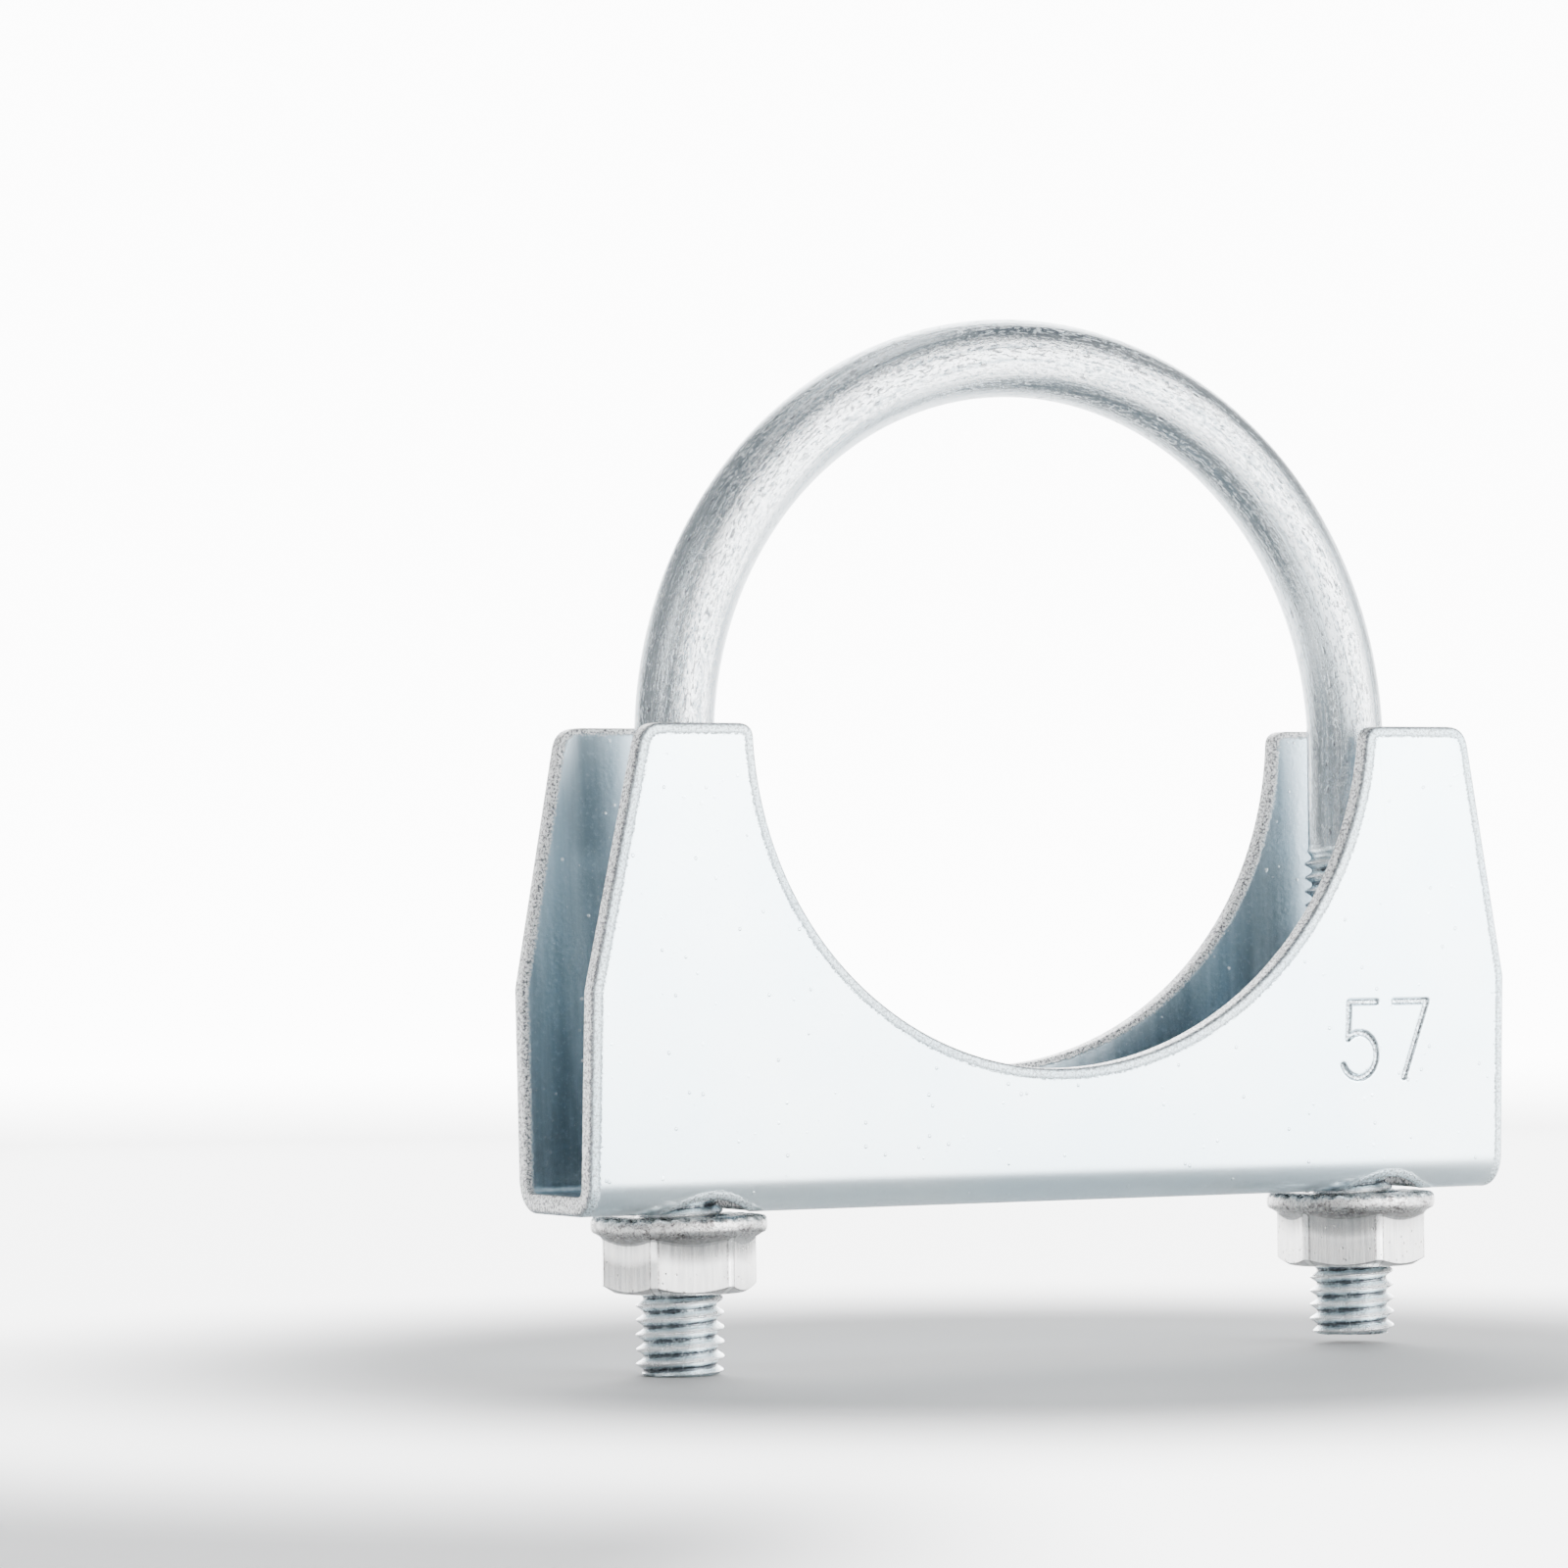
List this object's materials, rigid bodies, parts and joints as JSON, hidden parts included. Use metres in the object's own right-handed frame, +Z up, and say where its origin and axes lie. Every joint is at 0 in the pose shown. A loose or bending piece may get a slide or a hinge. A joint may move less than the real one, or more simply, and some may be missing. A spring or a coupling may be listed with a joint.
{
  "type": "u-bolt clamp",
  "caption": "Round-bar U-bolt with threaded legs, a notched channel saddle and flange nuts, for clamping a pipe.",
  "frame": {"origin": "centre of the bow, on the axis of a pipe seated in the saddle", "axes": "+X along the saddle towards the right leg, +Y along the pipe from the numbered front plate to the rear plate, +Z up from the saddle towards the top of the bow"},
  "size_m": [0.0922, 0.0176, 0.0919],
  "materials": {
    "drawn_zinc": "bright zinc plate on drawn round bar, lengthwise streaks",
    "sheet_zinc": "blue-bright zinc plate on rolled sheet, satin",
    "nut_zinc": "zinc plate on cold-formed nuts, satin flats"
  },
  "bodies": {
    "u_bolt": {"u_bolt": "drawn_zinc"},
    "saddle": {"saddle": "sheet_zinc"},
    "nut_left": {"nut_left": "nut_zinc"},
    "nut_right": {"nut_right": "nut_zinc"}
  },
  "joints": [
    {"name": "saddle_travel", "type": "slide", "parent": "u_bolt", "child": "saddle", "axis": [0, 0, 1], "range_m": [-0.006, 0.029]},
    {"name": "nut_left_turn", "type": "hinge", "parent": "saddle", "child": "nut_left", "pos_m": [-0.0342, 0, -0.0405], "axis": [0, 0, 1], "range_deg": [-1728, 8352]},
    {"name": "nut_right_turn", "type": "hinge", "parent": "saddle", "child": "nut_right", "pos_m": [0.0342, 0, -0.0405], "axis": [0, 0, 1], "range_deg": [-1728, 8352]}
  ],
  "couplings": [
    {"joint": "nut_left_turn", "follows": "saddle_travel", "rad_per_m": 5026.5},
    {"joint": "nut_right_turn", "follows": "saddle_travel", "rad_per_m": 5026.5}
  ]
}
